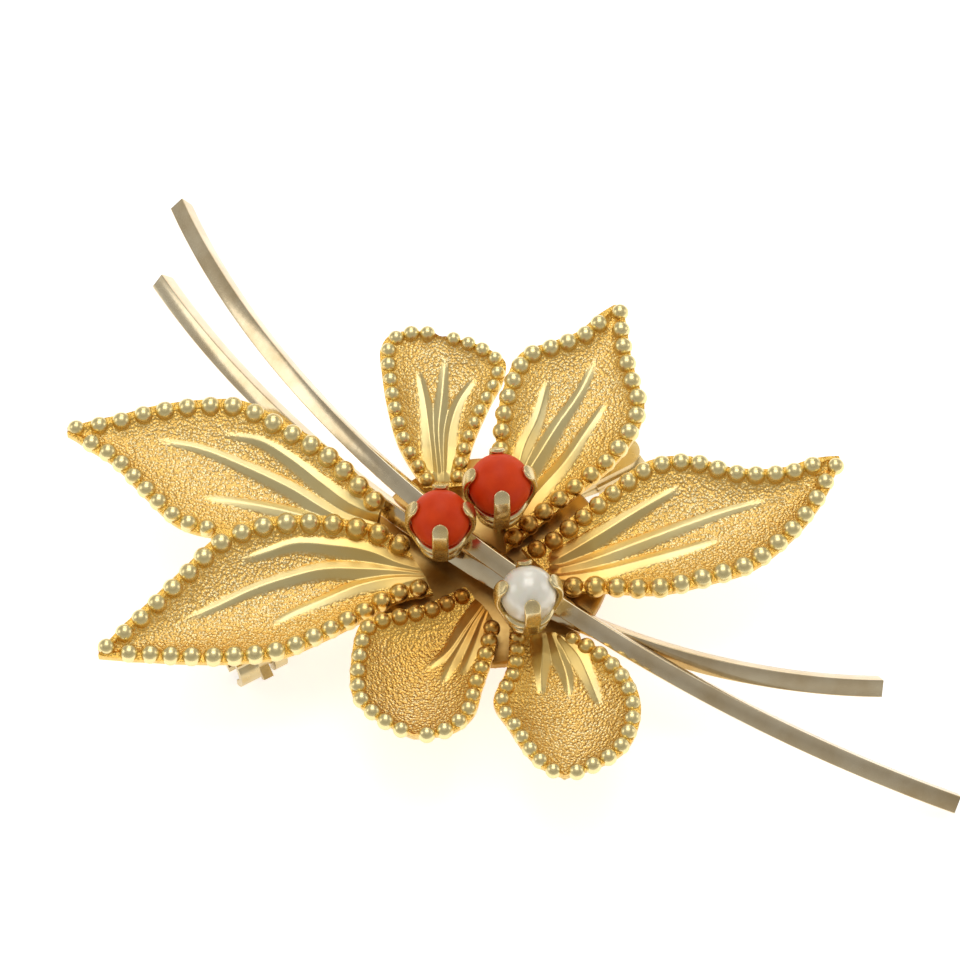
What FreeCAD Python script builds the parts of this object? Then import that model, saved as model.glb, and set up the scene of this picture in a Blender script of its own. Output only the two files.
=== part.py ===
"""Spray brooch: seven textured gold leaves with grain rims, two square-wire stems, two corals and a pearl.

Millimetres. +Z comes out of the face, +X is the long way of the leaves, and the brooch lies face up on its
hinge, its catch and one stem end. The flower frame has its origin under the middle of the flower on the
table; centre_x and centre_y move everything so that the row's origin is the middle of the footprint.
"""
import FreeCAD, Part
import math
import os

import Sketcher
from FreeCAD import Placement, Rotation, Vector

DOC = FreeCAD.newDocument("spray_brooch")
UP = Vector(0, 0, 1)

SIZES = {
    # place of the flower's middle in the row frame
    "centre_x": -1.1,
    "centre_y": -5.0,
    # leaves and their grains
    "sheet": 0.7,
    "rim_edge": 0.6,
    "tip_edge": 0.15,
    "grain_large": 1.34,
    "grain_small": 1.08,
    "grain_gap": 0.04,
    "grain_sink": 0.12,
    # centre plate and back bar
    "plate_bottom": 3.8,
    "plate_thick": 0.7,
    "plate_radius": 7.6,
    "plate_round": 0.15,
    "bar_thick": 0.6,
    "bar_width": 2.4,
    "bar_overhang": 1.9,
    # square-wire stems
    "stem_side": 1.1,
    "stem_roll": 30.0,
    # stones
    "stone_height": 9.3,
    "coral_left_radius": 1.8,
    "coral_right_radius": 1.93,
    "pearl_radius": 1.73,
    # settings
    "claw_width": 0.9,
    "claw_thick": 0.42,
    "claw_clearance": 0.02,
    "claw_tip_angle": 44.0,
    "claw_foot_angle": 20.0,
    "claw_leg": 2.0,
    "gallery_angle": 46.0,
    "gallery_radius": 0.25,
    "seat_thick": 0.5,
    "post_radius": 0.4,
    "post_sink": 0.2,
    # pin, hinge and catch, along the pin's own line
    "hinge_x": 7.8,
    "hinge_y": 8.2,
    "pin_heading": 211.0,
    "pin_height": 1.3,
    "pin_radius": 0.4,
    "pin_tip_radius": 0.06,
    "pin_root_radius": 0.6,
    "pin_root_end": 2.2,
    "pin_taper_start": 22.8,
    "pin_length": 26.9,
    "knuckle_radius": 1.05,
    "knuckle_width": 1.2,
    "rivet_radius": 0.4,
    "rivet_head_radius": 0.65,
    "rivet_head": 0.2,
    "running_clearance": 0.05,
    "ear_radius": 1.3,
    "ear_thick": 0.6,
    "ear_gap": 1.44,
    "foot_thick": 0.25,
    "hinge_foot_length": 3.6,
    "catch_reach": 25.9,
    "catch_length": 3.2,
    "catch_radius": 1.3,
    "catch_neck_width": 1.6,
    "catch_bore": 0.85,
    "catch_slot": 1.0,
    "catch_foot_length": 3.6,
    "window_start": 0.85,
    "window_length": 1.05,
    "window_inner": 0.3,
    "sleeve_length": 2.9,
    "sleeve_radius": 0.8,
    "sleeve_bore": 0.5,
    "tab_reach": 1.55,
    "tab_root": 0.55,
    "tab_length": 0.65,
    "tab_thick": 0.5,
    "tab_angle": -42.0,
}

# Each leaf: its left and right rows of grains from the base to the tip, seen from the base, as points
# (x, y, z) on the top face in the flower frame; how deep the middle lies below the line from rim to rim;
# the share of the left row, from the base, with no grains because it is tucked under a neighbour; and the
# number of steps from the first grain of each row, left and right, to the grain on the tip.
LEAVES = {
    "petal_upper_left": {
        "left": [(-7.0, 1.2, 5.4), (-9.5, 1.0, 5.5), (-12.5, 1.0, 5.7), (-16.2, 1.1, 6.0), (-18.9, 1.6, 6.5),
                 (-21.2, 3.7, 6.9), (-23.3, 5.9, 7.2), (-25.4, 7.1, 7.5), (-26.2, 7.5, 7.5)],
        "right": [(-6.6, 2.4, 6.6), (-7.9, 3.8, 6.8), (-9.9, 6.0, 6.9), (-12.9, 8.1, 7.0), (-15.5, 9.6, 7.1),
                  (-17.9, 9.7, 7.1), (-20.8, 9.2, 7.2), (-23.5, 8.3, 7.3), (-26.2, 7.7, 7.5)],
        "cup": 0.8, "bare": 0.45, "steps": (9, 15)},
    "petal_lower_left": {
        "left": [(-3.6, -2.6, 5.4), (-5.5, -3.1, 5.5), (-7.7, -4.7, 5.8), (-10.1, -6.4, 6.2),
                 (-12.6, -7.8, 6.5), (-15.8, -8.4, 6.8), (-18.5, -8.5, 7.0), (-21.6, -8.5, 7.3),
                 (-23.4, -8.7, 7.5)],
        "right": [(-4.9, 0.0, 5.6), (-6.8, 0.7, 6.4), (-8.4, 0.9, 6.7), (-10.2, 1.1, 6.9), (-13.6, 0.7, 7.2),
                  (-16.3, -0.6, 7.3), (-18.4, -3.0, 7.3), (-20.6, -5.7, 7.4), (-22.7, -8.0, 7.5),
                  (-23.4, -8.5, 7.5)],
        "cup": 1.2, "bare": 0.0, "steps": (16, 15)},
    "petal_top": {
        "left": [(-3.5, 4.7, 5.4), (-5.1, 7.5, 6.0), (-5.8, 9.9, 6.5), (-6.2, 12.5, 6.8), (-6.3, 14.1, 7.0),
                 (-5.7, 15.2, 7.0), (-4.5, 15.5, 7.0), (-3.3, 15.4, 7.0)],
        "right": [(-2.0, 4.8, 5.4), (-1.5, 7.4, 5.8), (-0.4, 10.4, 6.1), (0.5, 12.4, 6.3), (0.6, 13.5, 6.6),
                  (-0.4, 14.3, 6.9), (-1.8, 14.9, 7.0), (-2.7, 15.2, 7.0)],
        "cup": 0.9, "bare": 0.0, "steps": (12, 12)},
    "petal_upper_right": {
        "left": [(1.1, 4.1, 5.4), (0.8, 7.0, 6.2), (0.9, 8.4, 6.6), (1.3, 10.7, 6.9), (2.5, 13.5, 7.1),
                 (4.6, 14.4, 7.2), (6.3, 15.2, 7.3), (7.8, 16.8, 7.5), (8.2, 17.3, 7.5)],
        "right": [(1.1, 0.6, 5.3), (2.9, 2.3, 5.5), (5.1, 4.1, 6.0), (7.6, 6.3, 6.4), (9.0, 8.5, 6.7),
                  (9.4, 10.1, 6.9), (8.9, 12.3, 7.1), (8.5, 14.6, 7.3), (8.4, 16.5, 7.5), (8.4, 17.3, 7.5)],
        "cup": 1.0, "bare": 0.0, "steps": (13, 15)},
    "petal_right": {
        "left": [(2.4, -0.1, 5.3), (3.8, 0.6, 5.4), (6.0, 2.3, 5.9), (8.2, 4.1, 6.3), (10.1, 5.4, 6.6),
                 (12.4, 5.7, 6.8), (15.5, 4.7, 7.0), (18.5, 4.6, 7.2), (21.0, 5.4, 7.4), (21.8, 5.6, 7.4)],
        "right": [(4.6, -2.6, 5.4), (6.8, -2.8, 5.8), (10.3, -3.2, 6.3), (13.7, -2.5, 6.6), (15.9, -1.8, 6.8),
                  (18.5, 0.4, 7.0), (20.1, 2.5, 7.2), (21.3, 4.7, 7.4), (21.9, 5.4, 7.4)],
        "cup": 1.1, "bare": 0.0, "steps": (17, 15)},
    "petal_bottom_left": {
        "left": [(0.3, -5.0, 5.4), (-0.1, -7.5, 5.9), (-0.8, -10.2, 6.3), (-1.3, -12.2, 6.6),
                 (-2.3, -13.4, 6.8), (-3.5, -13.9, 6.9), (-4.2, -13.9, 6.9)],
        "right": [(-1.1, -3.0, 5.4), (-3.4, -4.5, 5.9), (-5.7, -5.4, 6.3), (-7.2, -6.1, 6.5),
                  (-7.8, -9.0, 6.6), (-7.6, -11.4, 6.8), (-6.4, -12.8, 6.9), (-5.3, -13.5, 6.9),
                  (-4.7, -13.8, 6.9)],
        "cup": 1.1, "bare": 0.0, "steps": (9, 14)},
    "petal_bottom_right": {
        "left": [(4.6, -6.1, 5.4), (6.6, -7.7, 6.0), (8.2, -10.0, 6.4), (8.6, -12.4, 6.7), (7.7, -14.9, 6.9),
                 (5.9, -16.2, 7.0), (4.7, -16.7, 7.0)],
        "right": [(1.8, -5.7, 5.4), (1.6, -8.9, 6.1), (0.8, -11.5, 6.5), (1.7, -13.4, 6.7), (2.6, -15.1, 6.9),
                  (3.5, -16.2, 7.0), (4.3, -16.7, 7.0)],
        "cup": 1.1, "bare": 0.0, "steps": (12, 11)},
}

# Each stem's centre line: an arc from the start over the bend to the middle, then an arc that goes on
# smoothly to the end, all in one sloping plane. The bend is in that plane, so it has no height of its own.
STEMS = {
    "stem_long": {"start": (-20.0, 26.7, 5.5), "bend": (-15.4, 16.8), "middle": (-0.2, -1.0, 6.76),
                  "end": (28.3, -15.2, 0.76)},
    "stem_short": {"start": (-21.1, 21.7, 4.0), "bend": (-11.4, 8.3), "middle": (0.1, -1.7, 5.26),
                   "end": (24.0, -7.7, 2.0)},
}

# Each stone: its middle in the flower frame, its first claw's direction and what its post stands on.
STONES = {
    "coral_left": {"at": (-2.9, -0.2), "turn": 0.0, "stands_on": 6.0},
    "coral_right": {"at": (0.7, 2.3), "turn": 4.0, "stands_on": 4.5},
    "pearl": {"at": (2.4, -5.6), "turn": 8.0, "stands_on": 4.5},
}
CLAWS = 4

ROWS_ALONG = 25
ROWS_ACROSS = 13

PARTS = []


def make_sheet():
    """Put every driving size in the spreadsheet, one alias a row."""
    sheet = DOC.addObject("Spreadsheet::Sheet", "Sizes")
    for row, (name, value) in enumerate(SIZES.items(), start=1):
        sheet.set(f"A{row}", name)
        sheet.set(f"B{row}", str(value))
        sheet.setAlias(f"B{row}", name)
    DOC.recompute()
    return sheet


SHEET = make_sheet()


def size(name):
    """A size as the spreadsheet holds it."""
    return float(SHEET.get(name))


def bind(obj, **cells):
    """Bind properties of an object to spreadsheet expressions."""
    for prop, expression in cells.items():
        obj.setExpression(prop, expression)


def primitive(kind, name, placement=None, **cells):
    """A Part primitive whose sizes follow the spreadsheet."""
    obj = DOC.addObject(kind, name)
    bind(obj, **cells)
    if placement is not None:
        obj.Placement = placement
    return obj


def finish(obj, label, x="0", y="0", z="0", heading=None):
    """Name a finished piece and place it: x, y, z in the flower frame, and an optional turn about Z."""
    obj.Label = label
    obj.setExpression(".Placement.Base.x", f"Sizes.centre_x + {x}")
    obj.setExpression(".Placement.Base.y", f"Sizes.centre_y + {y}")
    obj.setExpression(".Placement.Base.z", z)
    if heading is not None:
        obj.setExpression(".Placement.Rotation.Angle", heading)
    PARTS.append(obj)
    return obj


def finish_on_pin_line(obj, label):
    """Place a piece that is drawn along the pin: X runs from the hinge to the catch."""
    return finish(obj, label, x="Sizes.hinge_x", y="Sizes.hinge_y", heading="Sizes.pin_heading")


def flower_feature(shape, name):
    """A computed shape as a piece in the flower frame."""
    obj = DOC.addObject("Part::Feature", name)
    obj.Shape = shape
    return finish(obj, name)


# ---------------------------------------------------------------- leaves

def rim_curve(points):
    """A smooth curve through the points of one row of grains."""
    curve = Part.BSplineCurve()
    curve.interpolate([Vector(*point) for point in points])
    return curve


def leaf_grid(leaf):
    """Points of a leaf's top face: across from the right rim to the left one, along from base to tip."""
    right = rim_curve(leaf["right"]).discretize(Number=ROWS_ALONG)
    left = rim_curve(leaf["left"]).discretize(Number=ROWS_ALONG)
    grid = []
    for i, (start, end) in enumerate(zip(right, left)):
        along = i / (ROWS_ALONG - 1)
        width = (end - start).Length
        edge = size("tip_edge") + (size("rim_edge") - size("tip_edge")) * min(1.0, 12 * (1 - along))
        beyond = edge / width
        depth = leaf["cup"] * (0.15 + 0.85 * math.sin(math.pi * along ** 0.8))
        row = []
        for j in range(ROWS_ACROSS):
            across = -beyond + (1 + 2 * beyond) * j / (ROWS_ACROSS - 1)
            inside = max(0.0, 4 * across * (1 - across))
            row.append(start + (end - start) * across - UP * (depth * inside))
        grid.append(row)
    return grid


def make_leaf(name, leaf):
    """A cupped leaf: the top face through its grid, thickened straight down."""
    surface = Part.BSplineSurface()
    surface.interpolate(leaf_grid(leaf))
    flower_feature(surface.toShape().extrude(UP * -size("sheet")), name)


def grain_row(points, bare, steps):
    """Evenly spaced grains along one rim, largest at the base, the last one on the leaf's tip."""
    curve = rim_curve(points)
    length = curve.length()
    first = length * bare + size("grain_large") / 2
    pitch = (length - size("grain_small") / 2 - first) / steps
    grains = []
    for step in range(steps + 1):
        place = first + pitch * step
        tapered = size("grain_large") - (size("grain_large") - size("grain_small")) * (place / length) ** 2
        centre = curve.value(curve.parameterAtDistance(place)) - UP * size("grain_sink")
        grains.append(Part.makeSphere(min(tapered, pitch - size("grain_gap")) / 2, centre))
    return grains


def make_grains(name, leaf):
    """A leaf's two rows of grains as one group of separate balls, the left row clear of the right one."""
    left_steps, right_steps = leaf["steps"]
    right = grain_row(leaf["right"], 0.0, right_steps)
    left = [grain for grain in grain_row(leaf["left"], leaf["bare"], left_steps)
            if min(grain.distToShape(other)[0] for other in right) > size("grain_gap") / 2]
    flower_feature(Part.makeCompound(right + left), name.replace("petal", "grains"))


# ---------------------------------------------------------------- stems

def stem_plane(stem):
    """Upward normal of the plane that holds a stem's centre line."""
    start, middle, end = (Vector(*stem[key]) for key in ("start", "middle", "end"))
    normal = (middle - start).cross(end - start).normalize()
    return normal if normal.z > 0 else normal * -1


def square_section(centre, along, normal):
    """The wire's square end face, rolled about the wire so that one edge stands highest."""
    half_diagonal = size("stem_side") / math.sqrt(2)
    outward = along.cross(normal)
    corners = []
    for quarter in range(4):
        angle = math.radians(size("stem_roll") + 45 + 90 * quarter)
        corners.append(centre + (outward * math.cos(angle) + normal * math.sin(angle)) * half_diagonal)
    return Part.Face(Part.makePolygon(corners + corners[:1]))


def arc_bar(centre, start, end, normal):
    """A square bar along the arc from start to end about centre."""
    spoke = start - centre
    turn = math.degrees(spoke.getAngle(end - centre))
    if spoke.cross(end - centre).dot(normal) < 0:
        turn = -turn
    along = normal.cross(spoke).normalize() * math.copysign(1, turn)
    return square_section(start, along, normal).revolve(centre, normal, turn)


def make_stem(name, stem):
    """A stem of square wire: two arcs that meet smoothly at its middle."""
    normal = stem_plane(stem)
    start, middle, end = (Vector(*stem[key]) for key in ("start", "middle", "end"))
    bend_x, bend_y = stem["bend"]
    rise = (normal.x * (bend_x - start.x) + normal.y * (bend_y - start.y)) / normal.z
    first = Part.Arc(start, Vector(bend_x, bend_y, start.z - rise), middle).toShape().Curve
    to_centre = (first.Center - middle).normalize()
    chord = end - middle
    radius = chord.dot(chord) / (2 * chord.dot(to_centre))
    second_centre = middle + to_centre * radius
    print(name, "radii", round(first.Radius, 1), round(radius, 1))
    bars = [arc_bar(first.Center, start, middle, normal), arc_bar(second_centre, middle, end, normal)]
    flower_feature(bars[0].fuse(bars[1]), name)


# ---------------------------------------------------------------- centre plate and back bar

def origin_plane(body, role):
    """One of a body's own origin planes."""
    return next(item for item in body.Origin.OriginFeatures if item.Role == role)


def new_sketch(body, name):
    """A sketch on the body's XY plane."""
    sketch = body.newObject("Sketcher::SketchObject", name)
    sketch.AttachmentSupport = [(origin_plane(body, "XY_Plane"), "")]
    sketch.MapMode = "FlatFace"
    return sketch


def make_centre_plate():
    """The round plate under the flower that leaves, stems and settings are soldered to."""
    body = DOC.addObject("PartDesign::Body", "centre_plate_body")
    sketch = new_sketch(body, "plate_outline")
    sketch.addGeometry(Part.Circle(Vector(0, 0, 0), UP, size("plate_radius")), False)
    sketch.addConstraint(Sketcher.Constraint("Coincident", 0, 3, -1, 1))
    radius = sketch.addConstraint(Sketcher.Constraint("Radius", 0, size("plate_radius")))
    sketch.setExpression(f"Constraints[{radius}]", "Sizes.plate_radius")
    pad = body.newObject("PartDesign::Pad", "plate_pad")
    pad.Profile = sketch
    bind(pad, Length="Sizes.plate_thick")
    DOC.recompute()
    rims = [f"Edge{number}" for number, edge in enumerate(pad.Shape.Edges, start=1)
            if isinstance(edge.Curve, Part.Circle)]
    rounded = body.newObject("PartDesign::Fillet", "plate_edges")
    rounded.Base = (pad, rims)
    bind(rounded, Radius="Sizes.plate_round")
    finish(body, "centre_plate", z="Sizes.plate_bottom")


def make_back_bar():
    """The flat bar behind the plate, round-ended, that carries the hinge and the catch."""
    half = size("bar_width") / 2
    near = -size("bar_overhang") + half
    far = size("catch_reach") + size("bar_overhang") - half
    body = DOC.addObject("PartDesign::Body", "back_bar_body")
    sketch = new_sketch(body, "bar_outline")
    quarter = math.pi / 2
    sketch.addGeometry(Part.ArcOfCircle(Part.Circle(Vector(near, 0, 0), UP, half), quarter, 3 * quarter), False)
    sketch.addGeometry(Part.ArcOfCircle(Part.Circle(Vector(far, 0, 0), UP, half), -quarter, quarter), False)
    sketch.addGeometry(Part.LineSegment(Vector(near, -half, 0), Vector(far, -half, 0)), False)
    sketch.addGeometry(Part.LineSegment(Vector(far, half, 0), Vector(near, half, 0)), False)
    for first, second in (((0, 2), (2, 1)), ((2, 2), (1, 1)), ((1, 2), (3, 1)), ((3, 2), (0, 1))):
        sketch.addConstraint(Sketcher.Constraint("Tangent", *first, *second))
    sketch.addConstraint(Sketcher.Constraint("PointOnObject", 0, 3, -1))
    sketch.addConstraint(Sketcher.Constraint("PointOnObject", 1, 3, -1))
    radius = sketch.addConstraint(Sketcher.Constraint("Radius", 0, half))
    sketch.setExpression(f"Constraints[{radius}]", "Sizes.bar_width / 2")
    start = sketch.addConstraint(Sketcher.Constraint("DistanceX", 0, 3, -1, 1, -near))
    sketch.setExpression(f"Constraints[{start}]", "Sizes.bar_overhang - Sizes.bar_width / 2")
    reach = sketch.addConstraint(Sketcher.Constraint("DistanceX", -1, 1, 1, 3, far))
    sketch.setExpression(f"Constraints[{reach}]", "Sizes.catch_reach + Sizes.bar_overhang - Sizes.bar_width / 2")
    pad = body.newObject("PartDesign::Pad", "bar_pad")
    pad.Profile = sketch
    bind(pad, Length="Sizes.bar_thick")
    finish(body, "back_bar", x="Sizes.hinge_x", y="Sizes.hinge_y", z="Sizes.plate_bottom - Sizes.bar_thick",
           heading="Sizes.pin_heading")


# ---------------------------------------------------------------- stones and settings

def make_stone(name):
    """A stone: a ball held by its middle."""
    x, y = STONES[name]["at"]
    ball = primitive("Part::Sphere", name + "_ball", Radius=f"Sizes.{name}_radius")
    finish(ball, name, x=str(x), y=str(y), z="Sizes.stone_height")


def make_claw(name, number, azimuth):
    """One claw, before the stone's seat is cut: a flat strip over the stone and its straight leg."""
    reach = f"Sizes.{name}_radius + Sizes.claw_clearance"
    upright = Rotation(UP, azimuth) * Rotation(Vector(1, 0, 0), 90) * Rotation(UP, -size("claw_foot_angle"))
    back = Vector(0, 0, -size("claw_width") / 2)
    strip = primitive("Part::Cylinder", f"{name}_claw_{number}", Placement(upright.multVec(back), upright),
                      Radius=f"{reach} + Sizes.claw_thick", Height="Sizes.claw_width",
                      Angle="Sizes.claw_foot_angle + Sizes.claw_tip_angle")
    corner = back + Vector(size(f"{name}_radius") + size("claw_clearance"), -size("claw_leg"), 0)
    leg = primitive("Part::Box", f"{name}_claw_leg_{number}", Placement(upright.multVec(corner), upright),
                    Length="Sizes.claw_thick", Width="Sizes.claw_leg", Height="Sizes.claw_width")
    return [strip, leg]


def make_setting(name, label):
    """A claw setting drawn about the stone's middle: post, seat, gallery ring and four claws."""
    stone = STONES[name]
    middle = size(f"{name}_radius") + size("claw_clearance") + size("claw_thick") / 2
    foot = math.radians(size("claw_foot_angle"))
    seat_radius = middle * math.cos(foot) - size("claw_leg") * math.sin(foot) + size("claw_thick") / 2
    seat_bottom = -middle * math.sin(foot) - size("claw_leg") * math.cos(foot) - size("seat_thick") / 2
    seat = primitive("Part::Cylinder", f"{name}_seat", Placement(Vector(0, 0, seat_bottom), Rotation()),
                     Height="Sizes.seat_thick")
    seat.Radius = seat_radius
    post_bottom = stone["stands_on"] - size("stone_height")
    post = primitive("Part::Cylinder", f"{name}_post", Placement(Vector(0, 0, post_bottom), Rotation()),
                     Radius="Sizes.post_radius")
    post.Height = seat_bottom - post_bottom + size("post_sink")
    around = size(f"{name}_radius") + size("claw_clearance") + size("gallery_radius")
    dip = math.radians(size("gallery_angle"))
    gallery = primitive("Part::Torus", f"{name}_gallery",
                        Placement(Vector(0, 0, -around * math.sin(dip)), Rotation()),
                        Radius2="Sizes.gallery_radius")
    gallery.Radius1 = around * math.cos(dip)
    pieces = [seat, post, gallery]
    for number in range(CLAWS):
        pieces += make_claw(name, number + 1, stone["turn"] + number * 360 / CLAWS)
    room = primitive("Part::Sphere", f"{name}_room", Radius=f"Sizes.{name}_radius + Sizes.claw_clearance")
    x, y = stone["at"]
    finish(cut(f"{name}_setting_solid", fuse(f"{name}_setting_blank", pieces), [room]), label,
           x=str(x), y=str(y), z="Sizes.stone_height")


# ---------------------------------------------------------------- pin, hinge and catch

ACROSS_PIN = Rotation(Vector(1, 0, 0), -90)
ALONG_PIN = Rotation(Vector(0, 1, 0), 90)


def box_about(name, x, z, length, width, height):
    """A box from x and z up, centred across the pin's line; the sizes are spreadsheet expressions."""
    box = primitive("Part::Box", name, Length=length, Width=width, Height=height)
    box.setExpression(".Placement.Base.x", x)
    box.setExpression(".Placement.Base.y", f"-({width}) / 2")
    box.setExpression(".Placement.Base.z", z)
    return box


def round_across(name, radius, width):
    """A cylinder about the hinge axis, centred on the pin's line."""
    rod = primitive("Part::Cylinder", name, Placement(Vector(), ACROSS_PIN), Radius=radius, Height=width)
    rod.setExpression(".Placement.Base.y", f"-({width}) / 2")
    rod.setExpression(".Placement.Base.z", "Sizes.pin_height")
    return rod


def round_along(name, x, radius, length):
    """A cylinder about the pin's axis, from x towards the catch."""
    rod = primitive("Part::Cylinder", name, Placement(Vector(), ALONG_PIN), Radius=radius, Height=length)
    rod.setExpression(".Placement.Base.x", x)
    rod.setExpression(".Placement.Base.z", "Sizes.pin_height")
    return rod


def cone_along(name, start, end, start_radius, end_radius):
    """A cone about the pin's axis, from start to end."""
    cone = primitive("Part::Cone", name, Placement(Vector(), ALONG_PIN), Radius1=start_radius,
                     Radius2=end_radius, Height=f"{end} - {start}")
    cone.setExpression(".Placement.Base.x", start)
    cone.setExpression(".Placement.Base.z", "Sizes.pin_height")
    return cone


def fuse(name, pieces):
    """Join pieces into one solid."""
    joined = DOC.addObject("Part::MultiFuse", name)
    joined.Shapes = pieces
    return joined


def cut(name, base, tools):
    """Cut the tools out of the base."""
    result = DOC.addObject("Part::Cut", name)
    result.Base = base
    result.Tool = fuse(name + "_tools", tools) if len(tools) > 1 else tools[0]
    return result


HINGE_WIDTH = "Sizes.ear_gap + 2 * Sizes.ear_thick"
BAR_BOTTOM = "Sizes.plate_bottom - Sizes.bar_thick"


def make_hinge_base():
    """Two ears under a foot that is soldered to the back bar."""
    eyes = round_across("hinge_eyes", "Sizes.ear_radius", HINGE_WIDTH)
    cheeks = box_about("hinge_cheeks", "-Sizes.ear_radius", "Sizes.pin_height", "2 * Sizes.ear_radius",
                       HINGE_WIDTH, f"{BAR_BOTTOM} - Sizes.pin_height")
    foot = box_about("hinge_foot", "-Sizes.hinge_foot_length / 2", f"{BAR_BOTTOM} - Sizes.foot_thick",
                     "Sizes.hinge_foot_length", HINGE_WIDTH, "Sizes.foot_thick")
    gap = box_about("hinge_gap", "-2 * Sizes.ear_radius", "-1", "4 * Sizes.ear_radius", "Sizes.ear_gap",
                    f"1 + {BAR_BOTTOM} - Sizes.foot_thick")
    bore = round_across("hinge_bore", "Sizes.rivet_radius", f"2 * ({HINGE_WIDTH})")
    finish_on_pin_line(cut("hinge_base_solid", fuse("hinge_blank", [eyes, cheeks, foot]), [gap, bore]),
                       "hinge_base")


def make_hinge_rivet():
    """The rivet through ears and knuckle, with a flat head outside each ear."""
    shank = round_across("rivet_shank", "Sizes.rivet_radius", HINGE_WIDTH)
    heads = round_across("rivet_heads", "Sizes.rivet_head_radius",
                         f"{HINGE_WIDTH} + 2 * Sizes.rivet_head")
    between = round_across("rivet_between", "2 * Sizes.rivet_head_radius", HINGE_WIDTH)
    finish_on_pin_line(fuse("hinge_rivet_solid", [shank, cut("rivet_head_pair", heads, [between])]),
                       "hinge_rivet")


def make_pin_stem():
    """The pin: a knuckle that turns on the rivet, a thickened root, a round wire and a long sharp tip."""
    knuckle = round_across("pin_knuckle", "Sizes.knuckle_radius", "Sizes.knuckle_width")
    root = cone_along("pin_root", "Sizes.knuckle_radius / 2", "Sizes.pin_root_end",
                      "Sizes.pin_root_radius", "Sizes.pin_radius")
    wire = round_along("pin_wire", "Sizes.pin_root_end", "Sizes.pin_radius",
                       "Sizes.pin_taper_start - Sizes.pin_root_end")
    tip = cone_along("pin_tip", "Sizes.pin_taper_start", "Sizes.pin_length",
                     "Sizes.pin_radius", "Sizes.pin_tip_radius")
    bore = round_across("pin_bore", "Sizes.rivet_radius + Sizes.running_clearance",
                        "2 * Sizes.knuckle_width")
    blank = fuse("pin_blank", [knuckle, root, wire, tip])
    finish_on_pin_line(cut("pin_stem_solid", blank, [bore]), "pin_stem")


CATCH_START = "Sizes.catch_reach - Sizes.catch_length / 2"


def make_catch_body():
    """The catch barrel: open below for the pin, with a window for the sleeve's tab, on a soldered foot."""
    barrel = round_along("catch_barrel", CATCH_START, "Sizes.catch_radius", "Sizes.catch_length")
    neck = box_about("catch_neck", CATCH_START, "Sizes.pin_height + Sizes.sleeve_radius",
                     "Sizes.catch_length", "Sizes.catch_neck_width",
                     f"{BAR_BOTTOM} - Sizes.pin_height - Sizes.sleeve_radius")
    foot = box_about("catch_foot", "Sizes.catch_reach - Sizes.catch_foot_length / 2",
                     f"{BAR_BOTTOM} - Sizes.foot_thick", "Sizes.catch_foot_length", "Sizes.bar_width",
                     "Sizes.foot_thick")
    bore = round_along("catch_bore", "Sizes.catch_reach - Sizes.catch_length", "Sizes.catch_bore",
                       "2 * Sizes.catch_length")
    slot = box_about("catch_slot", "Sizes.catch_reach - Sizes.catch_length", "-1",
                     "2 * Sizes.catch_length", "Sizes.catch_slot", "1 + Sizes.pin_height")
    window = primitive("Part::Box", "catch_window", Length="Sizes.window_length",
                       Width="Sizes.catch_radius", Height=f"1 + {BAR_BOTTOM} - Sizes.foot_thick")
    window.setExpression(".Placement.Base.x", f"{CATCH_START} + Sizes.window_start")
    window.setExpression(".Placement.Base.y", "Sizes.window_inner")
    window.setExpression(".Placement.Base.z", "-1")
    finish_on_pin_line(cut("catch_body_solid", fuse("catch_blank", [barrel, neck, foot]),
                           [bore, slot, window]), "catch_body")


def make_safety_sleeve():
    """The turning sleeve inside the barrel: a slotted tube with a thumb tab; open below, as it rests."""
    start = "Sizes.catch_reach - Sizes.sleeve_length / 2"
    tube = round_along("sleeve_tube", start, "Sizes.sleeve_radius", "Sizes.sleeve_length")
    bore = round_along("sleeve_bore", "Sizes.catch_reach - Sizes.sleeve_length", "Sizes.sleeve_bore",
                       "2 * Sizes.sleeve_length")
    slot = box_about("sleeve_slot", "Sizes.catch_reach - Sizes.sleeve_length", "-1",
                     "2 * Sizes.sleeve_length", "Sizes.catch_slot", "1 + Sizes.pin_height")
    open_tube = cut("sleeve_open_tube", tube, [bore, slot])
    tab_middle = (size("catch_reach") - size("catch_length") / 2 + size("window_start")
                  + size("window_length") / 2)
    lean = Rotation(Vector(1, 0, 0), size("tab_angle"))
    corner = lean.multVec(Vector(-size("tab_length") / 2, size("tab_root"), -size("tab_thick") / 2))
    tab = primitive("Part::Box", "sleeve_tab",
                    Placement(Vector(tab_middle, 0, size("pin_height")) + corner, lean),
                    Length="Sizes.tab_length", Width="Sizes.tab_reach - Sizes.tab_root",
                    Height="Sizes.tab_thick")
    finish_on_pin_line(fuse("safety_sleeve_solid", [open_tube, tab]), "safety_sleeve")


def make_all():
    """Every piece of the brooch."""
    for name, leaf in LEAVES.items():
        make_leaf(name, leaf)
        make_grains(name, leaf)
    for name, stem in STEMS.items():
        make_stem(name, stem)
    make_centre_plate()
    make_back_bar()
    for name, label in (("coral_left", "coral_setting_left"), ("coral_right", "coral_setting_right"),
                        ("pearl", "pearl_setting")):
        make_setting(name, label)
        make_stone(name)
    make_hinge_base()
    make_hinge_rivet()
    make_pin_stem()
    make_catch_body()
    make_safety_sleeve()
    DOC.recompute()


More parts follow.
